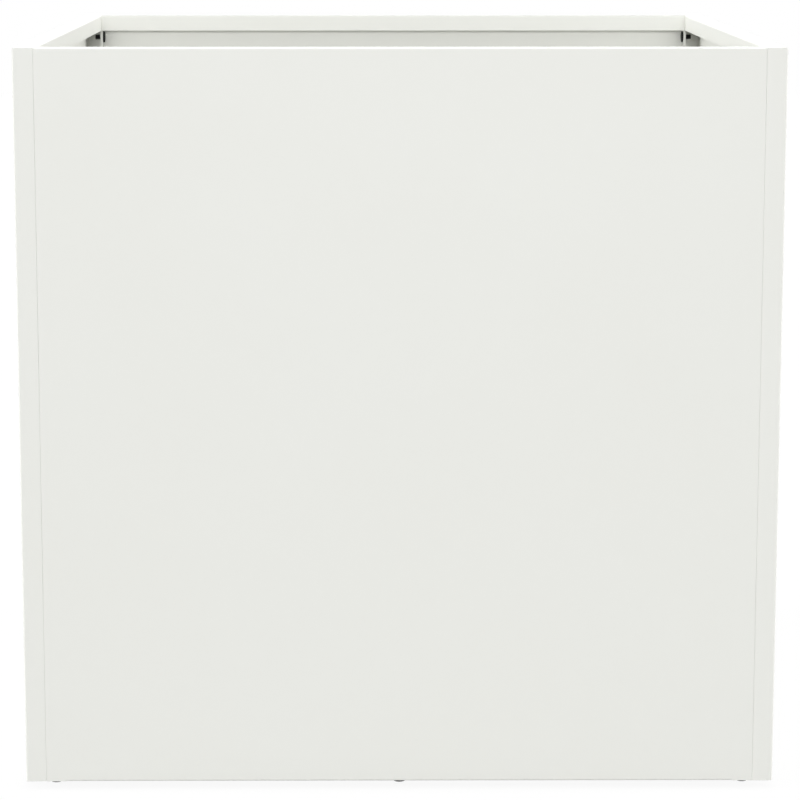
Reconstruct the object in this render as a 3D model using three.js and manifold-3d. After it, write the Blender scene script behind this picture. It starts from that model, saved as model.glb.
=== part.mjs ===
// A square planter of folded sheet steel: two side panels, a front and a back panel screwed
// together in the corners, a base tray on their bottom flanges and eight push-in feet.
// Millimetres, +Z up. The origin is on the floor under the middle, and the front faces -Y.
import * as THREE from 'three';
import { mergeVertices } from 'three/addons/utils/BufferGeometryUtils.js';
import Module from 'manifold-3d';

const wasm = await Module();
wasm.setup();

// Overall size
const WIDTH = 470; // X, over the side panels
const DEPTH = 470; // Y, over the front and back panels
const WALL_HEIGHT = 460; // a panel's lower edge to the rim
const FOOT_HEIGHT = 5; // floor to a panel's lower edge

// Sheet steel
const SHEET = 0.8;
const BEND_INSIDE = 0.4; // inside radius of every fold
const BEND_OUTSIDE = BEND_INSIDE + SHEET;

// Clearances
const FIT_GAP = 0.3; // edge to edge, and round a pin in its hole
const SEAT_GAP = 0.1; // between faces that rest on each other, the two coats of powder

// Folded edges
const RIM_WIDTH = 12.7; // flat rim, and the side panels' strips on the front and back
const LIP_DROP = 11.4; // rim to the lower edge of the lip turned down from it
const JOINT_FLANGE = RIM_WIDTH - SHEET - FIT_GAP; // screwed flange, ends behind the lip

// Corner screws, M4 with a low round head
const SCREW_LEVELS = ['bottom', 'middle', 'top'];
const SCREW_END_DISTANCE = 16.5; // rim or lower edge to the nearest screw
const SCREW_DIAMETER = 4;
const SCREW_LENGTH = 6; // under the head
const SCREW_TIP_CHAMFER = 0.4;
const SCREW_HEAD_DIAMETER = 8.4;
const SCREW_HEAD_HEIGHT = 1.4;
const SCREW_HEAD_EDGE = 0.6; // straight rim under the head's rounding
const RECESS_WIDTH = 4.2;
const RECESS_SLOT = 0.9;
const RECESS_DEPTH = 1;

// Push-in feet
const FOOT_SETBACK = 4.55; // from the line of the corner posts in to the foot's axis
const FOOT_DIAMETER = 9;
const FOOT_TREAD_DIAMETER = 6; // flat that stands on the floor
const FOOT_STEM_DIAMETER = 4.4;
const FOOT_BULB_DIAMETER = 6.2; // snaps out above the base
const FOOT_BULB_HEIGHT = 2.8;

// Bottom flanges and base tray
const FLANGE_MARGIN = 3.25; // flange left past the foot
const TRAY_UPSTAND = 10; // height of the tray's folded edge, from its underside
const DRAIN_DIAMETER = 12;
const DRAIN_OFFSET = 110; // outer drain holes from both centre lines

const BEND_STEPS = 3; // curve divisions, two facets each
const ROUND_SIDES = 16;
const OVERLAP = 1; // how far joined pieces of one panel run into each other
const GRID = 1e-3; // corners are rounded to this, so that faces meant to be flush are flush

// Places worked out from the sizes
const RIM_TOP = FOOT_HEIGHT + WALL_HEIGHT;
const HALF_WIDTH = WIDTH / 2;
const HALF_DEPTH = DEPTH / 2;
const SEAM_X = HALF_WIDTH - RIM_WIDTH; // where the side panel's strip ends
const FRONT_HALF = SEAM_X - SEAT_GAP; // half the width of the front panel, flange on flange
const LIP_Y = HALF_DEPTH - RIM_WIDTH; // inner face of the front and back lips
const POST_TOP = RIM_TOP - SHEET / 2; // folded vertical edges, welded up into the rim
const FOOT_INSET = RIM_WIDTH + FOOT_SETBACK; // foot's axis from the planter's faces
const BOTTOM_FLANGE = FOOT_INSET + FOOT_DIAMETER / 2 + FLANGE_MARGIN;
const FOOT_X = HALF_WIDTH - FOOT_INSET;
const FOOT_Y = HALF_DEPTH - FOOT_INSET;
const TRAY_BOTTOM = FOOT_HEIGHT + SHEET + SEAT_GAP;
const TRAY_TOP = TRAY_BOTTOM + SHEET;
const SCREW_Y = HALF_DEPTH - (BEND_OUTSIDE + JOINT_FLANGE) / 2;
const SCREW_SEAT_X = FRONT_HALF - SHEET - SEAT_GAP; // under the screw's head
const POST_END_Y = HALF_DEPTH - JOINT_FLANGE - FIT_GAP; // clear of the corner posts
const TRAY_END_X = SCREW_SEAT_X - SCREW_HEAD_HEIGHT - FIT_GAP; // clear of the screw heads

const COATED_STEEL = { color: '#ebece7', roughness: 0.42, metalness: 0.0 };
const BLACK_STEEL = { color: '#1b1b1a', roughness: 0.45, metalness: 0.7 };
const BLACK_PLASTIC = { color: '#171717', roughness: 0.6, metalness: 0.0 };

// Closed solids and back

function solidOf(geometry) {
  geometry.deleteAttribute('normal');
  geometry.deleteAttribute('uv');
  const positions = geometry.attributes.position.array;
  positions.forEach((value, i) => { positions[i] = Math.round(value / GRID) * GRID; });
  const merged = mergeVertices(geometry, GRID / 10);
  const corners = merged.index.array;
  const triangles = [];
  for (let i = 0; i < corners.length; i += 3) {
    const [a, b, c] = corners.slice(i, i + 3);
    if (a !== b && b !== c && a !== c) triangles.push(a, b, c);
  }
  return new wasm.Manifold(new wasm.Mesh({
    numProp: 3,
    vertProperties: merged.attributes.position.array,
    triVerts: new Uint32Array(triangles),
  }));
}

function geometryOf(solid) {
  const mesh = solid.getMesh();
  const geometry = new THREE.BufferGeometry();
  geometry.setAttribute('position', new THREE.BufferAttribute(mesh.vertProperties, 3));
  geometry.setIndex(new THREE.BufferAttribute(mesh.triVerts, 1));
  geometry.computeVertexNormals();
  return geometry;
}

const joined = (solids) => solids.reduce((whole, solid) => whole.add(solid));
const cut = (solid, tools) => tools.reduce((left, tool) => left.subtract(tool), solid);

// Prisms: a section drawn in one plane and drawn out along the third axis

const X = new THREE.Vector3(1, 0, 0);
const Y = new THREE.Vector3(0, 1, 0);
const Z = new THREE.Vector3(0, 0, 1);

function prism(section, across, up, from, to) {
  const along = across.clone().cross(up);
  const geometry = new THREE.ExtrudeGeometry(section, {
    depth: to - from,
    bevelEnabled: false,
    curveSegments: BEND_STEPS,
  });
  geometry.translate(0, 0, from);
  geometry.applyMatrix4(new THREE.Matrix4().makeBasis(across, up, along));
  return solidOf(geometry);
}

// Section in the XY plane, drawn upwards.
const upright = (section, from, to) => prism(section, X, Y, from, to);
// Section in the YZ plane, drawn along X.
const alongX = (section, from, to) => prism(section, Y, Z, from, to);
// Section in the XZ plane, drawn along Y. The prism's own axis runs towards -Y.
const alongY = (section, from, to) => prism(section, X, Z, -to, -from);

function round(diameter, from, to) {
  const section = new THREE.Shape();
  section.absarc(0, 0, diameter / 2, 0, 2 * Math.PI);
  const geometry = new THREE.ExtrudeGeometry(section, {
    depth: to - from,
    bevelEnabled: false,
    curveSegments: ROUND_SIDES / 2,
  });
  geometry.translate(0, 0, from);
  return geometry;
}

// A sheet folded by right angles, all towards the same hand. The corners are those of its
// outer face, and the sheet lies to the left of the way they run.
function foldedSheet(corners) {
  const points = corners.map(([u, v]) => new THREE.Vector2(u, v));
  const runs = points.slice(1).map((end, i) => end.clone().sub(points[i]).normalize());
  const inward = runs.map((run) => new THREE.Vector2(-run.y, run.x).multiplyScalar(SHEET));
  const bends = points.slice(1, -1).map((corner, i) => ({
    centre: corner.clone().addScaledVector(runs[i], -BEND_OUTSIDE)
      .addScaledVector(runs[i + 1], BEND_OUTSIDE),
    start: Math.atan2(-runs[i + 1].y, -runs[i + 1].x),
    end: Math.atan2(runs[i].y, runs[i].x),
  }));
  const section = new THREE.Shape();
  const last = points.length - 1;
  const innerStart = points[0].clone().add(inward[0]);
  const innerEnd = points[last].clone().add(inward[last - 1]);
  section.moveTo(points[0].x, points[0].y);
  bends.forEach(({ centre, start, end }, i) => {
    const arcStart = points[i + 1].clone().addScaledVector(runs[i], -BEND_OUTSIDE);
    section.lineTo(arcStart.x, arcStart.y);
    section.absarc(centre.x, centre.y, BEND_OUTSIDE, start, end, false);
  });
  section.lineTo(points[last].x, points[last].y);
  section.lineTo(innerEnd.x, innerEnd.y);
  for (const { centre, start, end } of bends.toReversed()) {
    section.absarc(centre.x, centre.y, BEND_INSIDE, end, start, true);
  }
  section.lineTo(innerStart.x, innerStart.y);
  section.closePath();
  return section;
}

function rectangle(left, low, right, high) {
  return new THREE.Shape([
    new THREE.Vector2(left, low),
    new THREE.Vector2(right, low),
    new THREE.Vector2(right, high),
    new THREE.Vector2(left, high),
  ]);
}

// The plan of a panel whose folded vertical edges are rounded like every other bend.
function roundedPlan(halfX, halfY) {
  const r = BEND_OUTSIDE;
  const section = new THREE.Shape();
  section.absarc(halfX - r, r - halfY, r, -Math.PI / 2, 0, false);
  section.absarc(halfX - r, halfY - r, r, 0, Math.PI / 2, false);
  section.absarc(r - halfX, halfY - r, r, Math.PI / 2, Math.PI, false);
  section.absarc(r - halfX, r - halfY, r, Math.PI, 1.5 * Math.PI, false);
  section.closePath();
  return upright(section, 0, RIM_TOP + OVERLAP);
}

// The outline across a wall, from its outer face over the bend to the flat of the rim.
function roundedTop(half) {
  const r = BEND_OUTSIDE;
  const section = new THREE.Shape();
  section.moveTo(0, 0);
  section.lineTo(0, RIM_TOP);
  section.lineTo(r - half, RIM_TOP);
  section.absarc(r - half, RIM_TOP - r, r, Math.PI / 2, Math.PI, false);
  section.lineTo(-half, 0);
  section.closePath();
  return section;
}

// Screws and their holes

function screwHeights() {
  const low = FOOT_HEIGHT + SCREW_END_DISTANCE;
  const step = (WALL_HEIGHT - 2 * SCREW_END_DISTANCE) / (SCREW_LEVELS.length - 1);
  return SCREW_LEVELS.map((_, i) => low + i * step);
}

// Holes in the flanges of one upright edge, along X through both of them.
function screwHoles(sideX, sideY) {
  const bore = round(SCREW_DIAMETER + 2 * FIT_GAP, SEAM_X - RIM_WIDTH / 2, HALF_WIDTH - SHEET - FIT_GAP);
  bore.applyMatrix4(new THREE.Matrix4().makeBasis(Y, Z, X));
  if (sideX < 0) bore.rotateZ(Math.PI);
  return screwHeights().map((height) => {
    const hole = bore.clone();
    hole.translate(0, sideY * SCREW_Y, height);
    return solidOf(hole);
  });
}

function screwGeometry() {
  const shank = SCREW_DIAMETER / 2;
  const head = SCREW_HEAD_DIAMETER / 2;
  const dome = SCREW_HEAD_HEIGHT - SCREW_HEAD_EDGE;
  const profile = new THREE.Path();
  profile.moveTo(0, -SCREW_LENGTH);
  profile.lineTo(shank - SCREW_TIP_CHAMFER, -SCREW_LENGTH);
  profile.lineTo(shank, -SCREW_LENGTH + SCREW_TIP_CHAMFER);
  profile.lineTo(shank, 0);
  profile.lineTo(head, 0);
  profile.absellipse(head - dome, SCREW_HEAD_EDGE, dome, dome, 0, Math.PI / 2, false, 0);
  profile.lineTo(0, SCREW_HEAD_HEIGHT);
  const body = solidOf(new THREE.LatheGeometry(profile.getPoints(1), ROUND_SIDES));
  const slot = new THREE.BoxGeometry(RECESS_WIDTH, 2 * RECESS_DEPTH, RECESS_SLOT);
  slot.translate(0, SCREW_HEAD_HEIGHT, 0);
  const otherSlot = slot.clone().rotateY(Math.PI / 2);
  return geometryOf(cut(body, [solidOf(slot), solidOf(otherSlot)]));
}

// Feet and their holes

function footPlaces() {
  return {
    foot_front_left: [-FOOT_X, -FOOT_Y],
    foot_front_centre: [0, -FOOT_Y],
    foot_front_right: [FOOT_X, -FOOT_Y],
    foot_left_centre: [-FOOT_X, 0],
    foot_right_centre: [FOOT_X, 0],
    foot_back_left: [-FOOT_X, FOOT_Y],
    foot_back_centre: [0, FOOT_Y],
    foot_back_right: [FOOT_X, FOOT_Y],
  };
}

function footHoles() {
  return Object.values(footPlaces()).map(([x, y]) => {
    const hole = round(FOOT_STEM_DIAMETER + 2 * FIT_GAP, 0, TRAY_TOP + OVERLAP);
    hole.translate(x, y, 0);
    return solidOf(hole);
  });
}

function footGeometry() {
  const tread = FOOT_TREAD_DIAMETER / 2;
  const outer = FOOT_DIAMETER / 2;
  const stem = FOOT_STEM_DIAMETER / 2;
  const bulb = FOOT_BULB_DIAMETER / 2;
  const headTop = FOOT_HEIGHT - SEAT_GAP;
  const bulbBottom = TRAY_TOP + SEAT_GAP;
  const cheek = outer - tread; // the rounding from the tread up to the full diameter
  const profile = new THREE.Path();
  profile.moveTo(0, 0);
  profile.lineTo(tread, 0);
  profile.absellipse(tread, cheek, cheek, cheek, -Math.PI / 2, 0, false, 0);
  profile.lineTo(outer, headTop);
  profile.lineTo(stem, headTop);
  profile.lineTo(stem, bulbBottom);
  profile.lineTo(bulb, bulbBottom + FOOT_BULB_HEIGHT / 3);
  profile.lineTo(stem, bulbBottom + FOOT_BULB_HEIGHT);
  profile.lineTo(0, bulbBottom + FOOT_BULB_HEIGHT);
  const foot = new THREE.LatheGeometry(profile.getPoints(2), ROUND_SIDES);
  foot.rotateX(Math.PI / 2);
  return geometryOf(solidOf(foot));
}

// Panels

// The left side panel. The right one is the same pressing turned half round.
function sidePanel() {
  const wallX = -HALF_WIDTH;
  const lipX = -SEAM_X;
  const innerEdge = lipX - BEND_OUTSIDE; // the rim's flat, short of the fold to the lip
  const lowWall = FOOT_HEIGHT + BEND_OUTSIDE;
  const wallAndRim = alongY(
    foldedSheet([[innerEdge, RIM_TOP], [wallX, RIM_TOP], [wallX, lowWall]]),
    -HALF_DEPTH, HALF_DEPTH,
  );
  const lip = alongY(
    foldedSheet([[lipX, RIM_TOP - LIP_DROP], [lipX, RIM_TOP], [innerEdge - OVERLAP, RIM_TOP]]),
    SEAT_GAP - LIP_Y, LIP_Y - SEAT_GAP,
  );
  const rimEnd = rectangle(innerEdge - OVERLAP, RIM_TOP - SHEET, lipX, RIM_TOP);
  const rimEnds = [
    alongY(rimEnd, -HALF_DEPTH, SEAT_GAP - LIP_Y),
    alongY(rimEnd, LIP_Y - SEAT_GAP, HALF_DEPTH),
  ];
  const bottomFlange = alongY(
    foldedSheet([
      [wallX, lowWall + OVERLAP],
      [wallX, FOOT_HEIGHT],
      [wallX + BOTTOM_FLANGE, FOOT_HEIGHT],
    ]),
    -POST_END_Y, POST_END_Y,
  );
  const frontPost = upright(
    foldedSheet([
      [wallX, -POST_END_Y],
      [wallX, -HALF_DEPTH],
      [lipX, -HALF_DEPTH],
      [lipX, JOINT_FLANGE - HALF_DEPTH],
    ]),
    FOOT_HEIGHT, POST_TOP,
  );
  const backPost = upright(
    foldedSheet([
      [lipX, HALF_DEPTH - JOINT_FLANGE],
      [lipX, HALF_DEPTH],
      [wallX, HALF_DEPTH],
      [wallX, POST_END_Y],
    ]),
    FOOT_HEIGHT, POST_TOP,
  );
  const rimAndWall = joined([wallAndRim, ...rimEnds]).intersect(roundedPlan(HALF_WIDTH, HALF_DEPTH));
  const folded = joined([rimAndWall, lip, bottomFlange, frontPost, backPost])
    .intersect(alongY(roundedTop(HALF_WIDTH), -HALF_DEPTH - OVERLAP, HALF_DEPTH + OVERLAP));
  return geometryOf(cut(folded, [...screwHoles(-1, -1), ...screwHoles(-1, 1), ...footHoles()]));
}

// The front panel. The back one is the same pressing turned half round.
function frontPanel() {
  const wallY = -HALF_DEPTH;
  const lowWall = FOOT_HEIGHT + BEND_OUTSIDE;
  const flangeHalf = HALF_WIDTH - BOTTOM_FLANGE - FIT_GAP;
  const wallRimAndLip = alongX(
    foldedSheet([
      [-LIP_Y, RIM_TOP - LIP_DROP],
      [-LIP_Y, RIM_TOP],
      [wallY, RIM_TOP],
      [wallY, lowWall],
    ]),
    -FRONT_HALF, FRONT_HALF,
  ).intersect(roundedPlan(FRONT_HALF, HALF_DEPTH));
  const bottomFlange = alongX(
    foldedSheet([
      [wallY, lowWall + OVERLAP],
      [wallY, FOOT_HEIGHT],
      [wallY + BOTTOM_FLANGE, FOOT_HEIGHT],
    ]),
    -flangeHalf, flangeHalf,
  );
  const leftEdge = upright(
    foldedSheet([
      [-FRONT_HALF, wallY + JOINT_FLANGE],
      [-FRONT_HALF, wallY],
      [-flangeHalf, wallY],
    ]),
    FOOT_HEIGHT, POST_TOP,
  );
  const rightEdge = upright(
    foldedSheet([
      [flangeHalf, wallY],
      [FRONT_HALF, wallY],
      [FRONT_HALF, wallY + JOINT_FLANGE],
    ]),
    FOOT_HEIGHT, POST_TOP,
  );
  const folded = joined([wallRimAndLip, bottomFlange, leftEdge, rightEdge])
    .intersect(alongX(roundedTop(HALF_DEPTH), -HALF_WIDTH, HALF_WIDTH));
  return geometryOf(cut(folded, [...screwHoles(-1, -1), ...screwHoles(1, -1), ...footHoles()]));
}

// The base tray: two folded channels laid across each other leave the corners open for the
// posts and their screws.
function baseTray() {
  const channel = (half) => foldedSheet([
    [-half, TRAY_BOTTOM + TRAY_UPSTAND],
    [-half, TRAY_BOTTOM],
    [half, TRAY_BOTTOM],
    [half, TRAY_BOTTOM + TRAY_UPSTAND],
  ]);
  const acrossWidth = alongY(
    channel(HALF_WIDTH - SHEET - FIT_GAP), FIT_GAP - POST_END_Y, POST_END_Y - FIT_GAP);
  const acrossDepth = alongX(channel(HALF_DEPTH - SHEET - FIT_GAP), -TRAY_END_X, TRAY_END_X);
  const drains = [[0, 0], [-1, -1], [1, -1], [-1, 1], [1, 1]].map(([x, y]) => {
    const hole = round(DRAIN_DIAMETER, 0, TRAY_TOP + OVERLAP);
    hole.translate(x * DRAIN_OFFSET, y * DRAIN_OFFSET, 0);
    return solidOf(hole);
  });
  return geometryOf(cut(joined([acrossWidth, acrossDepth]), [...drains, ...footHoles()]));
}

// Assembly

const planter = new THREE.Group();

function place(name, geometry, finish, x = 0, y = 0, z = 0) {
  const mesh = new THREE.Mesh(geometry, new THREE.MeshStandardMaterial(finish));
  mesh.name = name;
  mesh.position.set(x, y, z);
  planter.add(mesh);
  return mesh;
}

place('left_side_panel', sidePanel(), COATED_STEEL);
place('right_side_panel', sidePanel(), COATED_STEEL).rotation.z = Math.PI;
place('front_panel', frontPanel(), COATED_STEEL);
place('back_panel', frontPanel(), COATED_STEEL).rotation.z = Math.PI;
place('base_tray', baseTray(), COATED_STEEL);

for (const [faceName, faceY] of [['front', -1], ['back', 1]]) {
  for (const [sideName, sideX] of [['left', -1], ['right', 1]]) {
    screwHeights().forEach((height, level) => {
      const name = `screw_${faceName}_${sideName}_${SCREW_LEVELS[level]}`;
      const screw = place(
        name, screwGeometry(), BLACK_STEEL, sideX * SCREW_SEAT_X, faceY * SCREW_Y, height);
      screw.rotation.z = sideX * Math.PI / 2; // the head points to the middle of the planter
    });
  }
}

for (const [name, [x, y]] of Object.entries(footPlaces())) {
  place(name, footGeometry(), BLACK_PLASTIC, x, y);
}

export default planter;
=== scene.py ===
from math import copysign, pi, radians, sqrt

import bmesh
import bpy
from mathutils import Matrix, Vector


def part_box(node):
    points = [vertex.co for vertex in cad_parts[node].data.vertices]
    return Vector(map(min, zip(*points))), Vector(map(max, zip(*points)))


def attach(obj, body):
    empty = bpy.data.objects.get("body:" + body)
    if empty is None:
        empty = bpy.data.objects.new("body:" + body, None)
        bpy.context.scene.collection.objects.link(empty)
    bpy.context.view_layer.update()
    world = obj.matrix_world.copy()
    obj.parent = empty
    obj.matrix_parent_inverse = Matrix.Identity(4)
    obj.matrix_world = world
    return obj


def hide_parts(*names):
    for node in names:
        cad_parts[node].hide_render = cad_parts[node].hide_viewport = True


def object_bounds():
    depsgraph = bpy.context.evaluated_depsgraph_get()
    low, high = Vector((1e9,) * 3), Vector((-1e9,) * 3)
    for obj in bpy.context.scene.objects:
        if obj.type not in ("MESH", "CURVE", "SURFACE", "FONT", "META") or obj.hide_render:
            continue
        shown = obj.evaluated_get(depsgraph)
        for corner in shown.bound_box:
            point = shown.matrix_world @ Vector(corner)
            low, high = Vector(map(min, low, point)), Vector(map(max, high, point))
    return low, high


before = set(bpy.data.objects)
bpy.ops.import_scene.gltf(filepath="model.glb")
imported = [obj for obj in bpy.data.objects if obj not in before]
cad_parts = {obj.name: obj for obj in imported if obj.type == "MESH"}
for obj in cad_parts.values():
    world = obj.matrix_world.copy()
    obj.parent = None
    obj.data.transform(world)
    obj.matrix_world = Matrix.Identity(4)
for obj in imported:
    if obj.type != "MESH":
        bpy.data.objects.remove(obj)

cad_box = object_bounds()

# Camera. It stands in front of the planter, a little above its rim and two centimetres left of
# its middle line, far enough off for a long lens. The shift places the planter in the frame.
camera_lens = 130.01
camera_place = (-0.0202, -1.9897, 0.5591)
camera_pitch = 9.237  # degrees below the horizon
camera_yaw = -0.292
camera_shift = (0.0230, -0.0500)

camera = bpy.data.objects.new("camera", bpy.data.cameras.new("camera"))
camera.location = camera_place
camera.rotation_euler = (radians(90 - camera_pitch), 0, radians(camera_yaw))
camera.data.lens = camera_lens
camera.data.shift_x, camera.data.shift_y = camera_shift
camera.data.dof.use_dof = False
bpy.context.scene.collection.objects.link(camera)
bpy.context.scene.camera = camera

# Panels and tray. Each is one blank of 0.8 mm sheet steel, cut, punched and folded on a press
# brake, then powder coated all over in a warm white. The coat fills the seams between sheets to
# a hairline, rounds the cut edges, and flows out with a very fine orange peel.
coat_white = (0.83, 0.838, 0.80)
coat_warmer = (0.826, 0.830, 0.786)
coat_roughness = 0.46
coat_roughness_spread = 0.10
coat_drift_share = 0.6  # of that spread, and the speckle makes the rest
noise_mean = 0.5
coat_thickness = 0.00004  # metres, as is each size here
corner_limit = 1.7  # the most that a corner moves out, in coat thicknesses
coat_edge = 0.00012  # rounding of a cut edge
coat_edge_segments = 2
bend_radius = 0.00124  # outside of a bend, with its coat
bend_inside_share = 0.7  # of that radius, and what is nearer the bend's axis is its inside
seam_x = 0.22225  # middle of the seams beside the front and back panels
seam_half_gap = 0.00001
groove_rounding = 0.00025
merge_distance = 1e-6
flat_angle = radians(1)
cut_edge_angle = radians(45)
drift_scale = 9.0  # bumps to the metre, as is each scale of a pattern
speckle_scale = 240.0
peel_scale = 620.0
peel_height = 0.000010
sheet_wave_scale = 5.5
sheet_wave_height = 0.00012


class Link:
    """One value in a node tree. Operators add Math nodes, and node() adds any other node."""

    def __init__(self, tree, socket=None):
        self.tree = tree
        self.socket = socket

    def node(self, kind, settings=None, values=None, output=0):
        made = self.tree.nodes.new("ShaderNode" + kind)
        for name, setting in (settings or {}).items():
            setattr(made, name, setting)
        for name, value in (values or {}).items():
            if isinstance(value, Link):
                self.tree.links.new(made.inputs[name], value.socket)
            else:
                made.inputs[name].default_value = value
        return Link(self.tree, made.outputs[output] if made.outputs else None)

    def math(self, operation, *terms):
        return self.node("Math", {"operation": operation}, dict(enumerate(terms)))

    def __add__(self, other):
        return self.math("ADD", self, other)

    def __mul__(self, other):
        return self.math("MULTIPLY", self, other)

    def __sub__(self, other):
        return self.math("SUBTRACT", self, other)

    def __rsub__(self, other):
        return self.math("SUBTRACT", other, self)

    __radd__ = __add__
    __rmul__ = __mul__

    def maximum(self, other):
        return self.math("MAXIMUM", self, other)

    def noise(self, scale, detail=2.0):
        return self.node("TexNoise", values={"Vector": self, "Scale": scale, "Detail": detail})

    def bump(self):
        """The normal of a surface that this value raises, in metres."""
        return self.node("Bump", values={"Strength": 1.0, "Distance": 1.0, "Height": self})

    def between(self, first, second):
        """The colour that lies as far from first to second as this value says, from 0 to 1."""
        return self.node("Mix", {"data_type": "RGBA"}, {
            0: self, 6: (*first, 1.0), 7: (*second, 1.0)}, output=2)


def finish(name, look):
    """A material whose nodes the function look makes, from Object coordinates to a shader."""
    material = bpy.data.materials.new(name)
    material.use_nodes = True
    material.node_tree.nodes.clear()
    start = Link(material.node_tree)
    surface = look(start.node("TexCoord", output="Object"))
    start.node("OutputMaterial", values={"Surface": surface})
    return material


def powder_coat_look(place):
    drift = place.noise(drift_scale, detail=3.0)
    speckle = place.noise(speckle_scale)
    peel = place.noise(peel_scale, detail=1.0)
    wave = place.noise(sheet_wave_scale, detail=0.0)
    mottle = coat_drift_share * drift + (1 - coat_drift_share) * speckle
    return place.node("BsdfPrincipled", values={
        "Base Color": drift.between(coat_white, coat_warmer),
        "Roughness": coat_roughness + coat_roughness_spread * (mottle - noise_mean),
        "Normal": (peel * peel_height + wave * sheet_wave_height).bump(),
    })


powder_coat = finish("powder_coat", powder_coat_look)


def new_piece(name, shape, material, node):
    """The finished bmesh as a piece of the planter that stands for its CAD node."""
    mesh = bpy.data.meshes.new(name)
    shape.to_mesh(mesh)
    shape.free()
    for face in mesh.polygons:
        face.use_smooth = True
    mesh.materials.append(material)
    piece = bpy.data.objects.new(name, mesh)
    bpy.context.scene.collection.objects.link(piece)
    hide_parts(node)
    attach(piece, "root")
    return piece


def fill_seam_grooves(sheet):
    """The coat builds up in the groove of each upright seam and leaves a fine line there."""
    face_y, rim_z = cad_box[1][1], cad_box[1][2]
    for vertex in sheet.verts:
        on_panel = abs(vertex.co.x) < seam_x
        edge = seam_x - seam_half_gap if on_panel else seam_x + seam_half_gap
        corner = Vector((copysign(edge, vertex.co.x), copysign(face_y, vertex.co.y)))
        outward = vertex.co.xy - corner
        from_axis = Vector((bend_radius - abs(outward.x), bend_radius - abs(outward.y)))
        on_inside = from_axis.length < bend_inside_share * bend_radius
        if min(from_axis) < -merge_distance or on_inside:
            continue
        vertex.co.xy = corner + outward * groove_rounding / bend_radius
        if on_panel:  # its rim is rounded too, and the groove stays under that
            inset = bend_radius - abs(vertex.co.y - corner.y)
            rounded_z = rim_z - bend_radius + sqrt(bend_radius ** 2 - inset ** 2)
            vertex.co.z = min(vertex.co.z, rounded_z)


def coated_sheet(node):
    """A copy of the folded sheet, thicker by its coat and with every cut edge rounded."""
    sheet = bmesh.new()
    sheet.from_mesh(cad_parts[node].data)
    bmesh.ops.remove_doubles(sheet, verts=sheet.verts, dist=merge_distance)
    bmesh.ops.dissolve_limit(
        sheet, angle_limit=flat_angle, verts=sheet.verts, edges=sheet.edges)
    sheet.normal_update()
    steps = [v.normal * coat_thickness * min(v.calc_shell_factor(), corner_limit)
             for v in sheet.verts]
    for vertex, step in zip(sheet.verts, steps):
        for i in range(3):
            vertex.co[i] = min(max(vertex.co[i] + step[i], cad_box[0][i]), cad_box[1][i])
    cut_edges = [e for e in sheet.edges
                 if e.is_manifold and e.calc_face_angle() > cut_edge_angle]
    bmesh.ops.bevel(
        sheet, geom=cut_edges, offset=coat_edge, offset_type="OFFSET",
        segments=coat_edge_segments, profile=0.5, affect="EDGES", material=-1,
        clamp_overlap=True)
    fill_seam_grooves(sheet)
    bmesh.ops.remove_doubles(sheet, verts=sheet.verts, dist=merge_distance)
    return sheet


for node in ("left_side_panel", "right_side_panel", "front_panel", "back_panel", "base_tray"):
    piece = new_piece(node + "_coated", coated_sheet(node), powder_coat, node)
    piece.modifiers.new("flats", "WEIGHTED_NORMAL")

# Screws. Twelve black M4 screws with low round heads and a cross recess, three down each corner.
# Each is driven sideways through the folded edges of two panels, with its head on the inside,
# and its thread shows in the hollow of the corner. Cold-headed, with a rolled thread.
millimetre = 0.001
screw_head_radius = 4.2  # millimetres, as is each size of a screw's or a foot's shape
screw_head_height = 1.4
screw_head_crown = 0.15  # rise of the top towards its middle
screw_head_rounding = 0.7
screw_head_segments = 6
screw_head_foot_rounding = 0.15
screw_length = 6.0
screw_neck = 0.3  # thread run into the head
recess_width = 4.2
recess_slot = 0.9
recess_depth = 1.0
recess_floor_share = (0.5, 0.7)  # of its width and slot, at the bottom
thread_pitch = 0.7
thread_root = 1.57
thread_crest = 1.95
thread_shares = ((0, 0), (0.25, 0), (0.563, 1), (0.687, 1), (1, 0))  # of pitch, of depth
thread_turns = 12
thread_lead = 1.3  # turns that start below the tip and are cut off there
thread_steps = 24
tip_chamfer = 0.4
round_steps = 32
small_segments = 2  # of a small rounding
ring_tolerance = 0.001  # how close to a ring its points are
point_merge = 0.0001
cut_tolerance = 0.00001
weld_distance = 0.002  # points this close become one
screw_turn = radians(37)  # how far each stands turned from the one before it
sharp_angle = radians(35)
screw_black = (0.005, 0.005, 0.006)
screw_worn = (0.016, 0.016, 0.016)
screw_patch_scale = 520.0
screw_grain_scale = 2600.0
screw_grain_height = 0.000006  # metres
screw_roughness = 0.42
screw_roughness_spread = 0.2
screw_metallic = 0.2
screw_specular = 0.3


def blackened_steel_look(place):
    grain = place.noise(screw_grain_scale, detail=3.0)
    patch = place.noise(screw_patch_scale)
    return place.node("BsdfPrincipled", values={
        "Base Color": patch.between(screw_black, screw_worn),
        "Metallic": screw_metallic,
        "Specular IOR Level": screw_specular,
        "Roughness": screw_roughness + screw_roughness_spread * grain,
        "Normal": (grain * screw_grain_height).bump(),
    })


def turned(profile, steps=round_steps, turns=1, rise=0.0):
    """A line of (radius, height) points spun round Z, which climbs by rise in each turn."""
    shape = bmesh.new()
    line = [shape.verts.new((radius, 0, height)) for radius, height in profile]
    edges = [shape.edges.new(pair) for pair in zip(line, line[1:])]
    bmesh.ops.spin(
        shape, geom=line + edges, axis=(0, 0, 1), cent=(0, 0, 0),
        dvec=(0, 0, rise / steps), angle=2 * pi * turns, steps=steps * turns,
        use_merge=rise == 0)
    bmesh.ops.remove_doubles(shape, verts=shape.verts, dist=point_merge)
    bmesh.ops.recalc_face_normals(shape, faces=shape.faces)
    return shape


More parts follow.
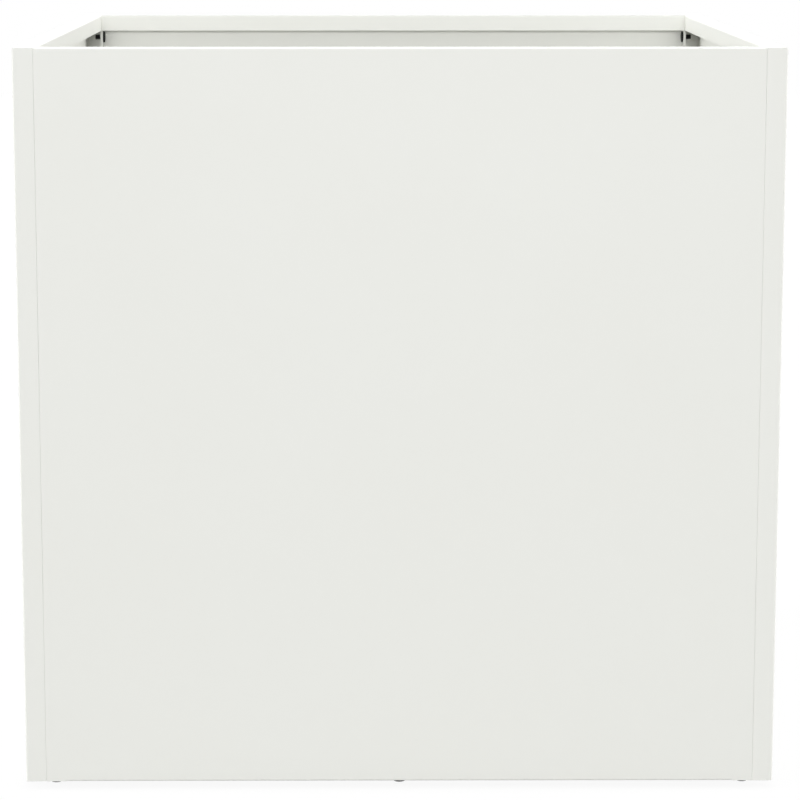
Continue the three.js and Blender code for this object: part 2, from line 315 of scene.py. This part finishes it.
def round_ring(shape, radius, height, offset, segments=small_segments):
    """Rounds the ring of edges at this radius and height."""
    def on_ring(vertex):
        at_radius = abs(vertex.co.xy.length - radius) < ring_tolerance
        return at_radius and abs(vertex.co.z - height) < ring_tolerance

    ring = [e for e in shape.edges if all(on_ring(v) for v in e.verts)]
    bmesh.ops.bevel(
        shape, geom=ring, offset=offset, offset_type="OFFSET", segments=segments,
        profile=0.5, affect="EDGES", material=-1, clamp_overlap=False)


def boolean(base, tool, operation):
    """The closed shape base, joined with or cut by the closed shape tool. Both are used up."""
    holders = []
    for shape in (base, tool):
        mesh = bpy.data.meshes.new("boolean")
        shape.to_mesh(mesh)
        shape.free()
        holder = bpy.data.objects.new("boolean", mesh)
        bpy.context.scene.collection.objects.link(holder)
        holders.append(holder)
    modifier = holders[0].modifiers.new("boolean", "BOOLEAN")
    modifier.operation = operation
    modifier.solver = "EXACT"
    modifier.object = holders[1]
    result = bmesh.new()
    result.from_object(holders[0], bpy.context.evaluated_depsgraph_get())
    bmesh.ops.remove_doubles(result, verts=result.verts, dist=weld_distance)
    bmesh.ops.dissolve_degenerate(result, edges=result.edges, dist=weld_distance)
    for holder in holders:
        mesh = holder.data
        bpy.data.objects.remove(holder)
        bpy.data.meshes.remove(mesh)
    return result


def cross_cut(shape, size, middle, floor_share=(1, 1)):
    """The shape with two slots of this size cut across each other, middle at this height."""
    for quarter_turn in (0, 1):
        slot = bmesh.new()
        bmesh.ops.create_cube(slot, size=1)
        floor_corners = [v for v in slot.verts if v.co.z < 0]
        bmesh.ops.scale(slot, verts=floor_corners, vec=(*floor_share, 1))
        bmesh.ops.scale(slot, verts=slot.verts, vec=size)
        bmesh.ops.translate(slot, verts=slot.verts, vec=(0, 0, middle))
        bmesh.ops.rotate(
            slot, verts=slot.verts, matrix=Matrix.Rotation(quarter_turn * pi / 2, 3, "Z"))
        shape = boolean(shape, slot, "DIFFERENCE")
    return shape


def threaded_shank():
    depth = thread_crest - thread_root
    groove = [(thread_root + depth * out, thread_pitch * along) for along, out in thread_shares]
    shank = turned(groove, steps=thread_steps, turns=thread_turns, rise=thread_pitch)
    bmesh.ops.translate(
        shank, verts=shank.verts, vec=(0, 0, -screw_length - thread_lead * thread_pitch))
    for height, direction in ((-screw_length, -1), (screw_neck, 1)):
        bmesh.ops.bisect_plane(
            shank, geom=shank.verts[:] + shank.edges[:] + shank.faces[:], dist=cut_tolerance,
            plane_co=(0, 0, height), plane_no=(0, 0, direction), clear_outer=True)
    bmesh.ops.holes_fill(shank, edges=shank.edges, sides=0)
    for vertex in shank.verts:
        limit = thread_crest - max(0.0, tip_chamfer - (vertex.co.z + screw_length))
        if vertex.co.xy.length > limit:
            vertex.co.xy *= limit / vertex.co.xy.length
    bmesh.ops.recalc_face_normals(shank, faces=shank.faces)
    return shank


def screw_shape():
    """A screw that points down, with the underside of its head at height 0."""
    side_height = screw_head_height - screw_head_crown
    screw = turned([
        (0, 0), (screw_head_radius, 0), (screw_head_radius, side_height), (0, screw_head_height)])
    round_ring(screw, screw_head_radius, side_height, screw_head_rounding, screw_head_segments)
    round_ring(screw, screw_head_radius, 0, screw_head_foot_rounding)
    screw = boolean(screw, threaded_shank(), "UNION")
    recess = (recess_width, recess_slot, 2 * recess_depth)
    return cross_cut(screw, recess, screw_head_height, recess_floor_share)


blackened_steel = finish("blackened_steel", blackened_steel_look)
one_screw = screw_shape()
screw_nodes = [f"screw_{face}_{end}_{level}" for face in ("front", "back")
               for end in ("left", "right") for level in ("bottom", "middle", "top")]
for i, node in enumerate(screw_nodes):
    low, high = (Vector(corner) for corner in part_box(node))
    side = 1 if low.x > 0 else -1
    head_top = low.x if side > 0 else high.x
    seat = Vector((head_top + side * screw_head_height * millimetre, *((low + high) / 2).yz))
    screw = one_screw.copy()
    bmesh.ops.transform(screw, verts=screw.verts, matrix=(
        Matrix.Translation(seat) @ Matrix.Rotation(-side * pi / 2, 4, "Y")
        @ Matrix.Rotation(i * screw_turn, 4, "Z") @ Matrix.Scale(millimetre, 4)))
    piece = new_piece(node + "_threaded", screw, blackened_steel, node)
    piece.data.set_sharp_from_angle(angle=sharp_angle)
one_screw.free()

# Feet. Eight small feet of matt black plastic, one under each corner and each side. Each is
# pushed up through the folded flange and the tray, and its split stem snaps out above them.
tread_corner = (4.5, 0)  # radius and height
shoulder = (4.5, 4.9)
bulb_widest = (3.1, 7.73)
bulb_top = (1.9, 9.6)
foot_profile = [
    (0, 0), tread_corner, shoulder, (2.2, 4.9), (2.2, 6.8), bulb_widest, bulb_top, (0, 9.6)]
foot_rounding = 1.5  # from the tread up to the full diameter
foot_segments = 5
foot_small_rounding = 0.3
stem_slot = 0.9
stem_slot_floor = 6.9
stem_slot_top = 10.6  # a little above the stem
plastic_black = (0.013, 0.013, 0.014)
plastic_dusty = (0.024, 0.024, 0.024)
foot_dust_scale = 310.0
foot_grain_scale = 1900.0
foot_grain_height = 0.000014  # metres
foot_roughness = 0.52
foot_roughness_spread = 0.18


def black_plastic_look(place):
    grain = place.noise(foot_grain_scale)
    dust = place.noise(foot_dust_scale, detail=3.0)
    return place.node("BsdfPrincipled", values={
        "Base Color": dust.between(plastic_black, plastic_dusty),
        "Roughness": foot_roughness + foot_roughness_spread * grain,
        "Normal": (grain * foot_grain_height).bump(),
    })


def foot_shape():
    """A foot that stands on height 0, on the Z axis."""
    foot = turned(foot_profile)
    for corner in (shoulder, bulb_widest, bulb_top):
        round_ring(foot, *corner, foot_small_rounding)
    round_ring(foot, *tread_corner, foot_rounding, foot_segments)
    slots = (2 * tread_corner[0], stem_slot, stem_slot_top - stem_slot_floor)
    return cross_cut(foot, slots, (stem_slot_top + stem_slot_floor) / 2)


black_plastic = finish("black_plastic", black_plastic_look)
one_foot = foot_shape()
foot_places = [f"{face}_{end}" for face in ("front", "back") for end in ("left", "centre", "right")]
for foot_place in foot_places + ["left_centre", "right_centre"]:
    node = "foot_" + foot_place
    low, high = (Vector(corner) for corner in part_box(node))
    foot = one_foot.copy()
    bmesh.ops.transform(foot, verts=foot.verts, matrix=(
        Matrix.Translation((*((low + high) / 2).xy, low.z)) @ Matrix.Scale(millimetre, 4)))
    piece = new_piece(node + "_snapped", foot, black_plastic, node)
    piece.data.set_sharp_from_angle(angle=sharp_angle)
one_foot.free()

# Light and floor. A plain pale floor under an even white sky, with a soft lamp overhead and one
# on each of the four sides, these low enough to reach the inner faces under the rim. None of it
# is part of the planter.
sky_level = 0.45
white = (1.0, 1.0, 1.0, 1.0)
floor_half = 6.0  # metres
floor_colour = (0.45, 0.45, 0.45, 1.0)
floor_white = 1.15  # what the camera sees of it, so that it is white with the matt part added
floor_white_share = 0.8  # the rest is the matt part, which shows the shadow
lamps = [
    # name, strength, width, azimuth from the front and height above the horizon in degrees
    ("front", 1.25, 15, 0, 8),
    ("left", 2.0, 35, -90, 15),
    ("right", 1.7, 35, 90, 15),
    ("back", 0.6, 35, 180, 15),
    ("overhead", 0.3, 80, 0, 84),
]

world = bpy.data.worlds.new("sky")
bpy.context.scene.world = world
world.use_nodes = True
world.node_tree.nodes.clear()
sky = Link(world.node_tree)


def seen(start):
    """1 where a ray comes from the camera, a mirror or glass, and 0 where it only lights."""
    camera_ray, mirror_ray, glass_ray = (
        start.node("LightPath", output=name)
        for name in ("Is Camera Ray", "Is Glossy Ray", "Is Transmission Ray"))
    return camera_ray.maximum(mirror_ray).maximum(glass_ray)


sky_strength = sky_level + (1 - sky_level) * seen(sky)
background = sky.node("Background", values={"Color": white, "Strength": sky_strength})
sky.node("OutputWorld", values={"Surface": background})

for name, strength, width, azimuth, elevation in lamps:
    lamp = bpy.data.lights.new(name, "SUN")
    lamp.energy = strength
    lamp.angle = radians(width)
    holder = bpy.data.objects.new(name, lamp)
    holder.rotation_euler = (radians(90 - elevation), 0, radians(azimuth))
    bpy.context.scene.collection.objects.link(holder)


def floor_look(place):
    matt = place.node("BsdfDiffuse", values={"Color": floor_colour})
    plain = place.node("Emission", values={"Color": white, "Strength": floor_white})
    return place.node("MixShader", values={
        0: floor_white_share * seen(place), 1: matt, 2: plain})


floor_shape = bmesh.new()
bmesh.ops.create_grid(floor_shape, x_segments=1, y_segments=1, size=floor_half)
floor_mesh = bpy.data.meshes.new("floor")
floor_shape.to_mesh(floor_mesh)
floor_shape.free()
floor_mesh.materials.append(finish("pale_floor", floor_look))
floor = bpy.data.objects.new("floor", floor_mesh)
bpy.context.scene.collection.objects.link(floor)

# View settings.
bpy.context.scene.view_settings.view_transform = "Standard"
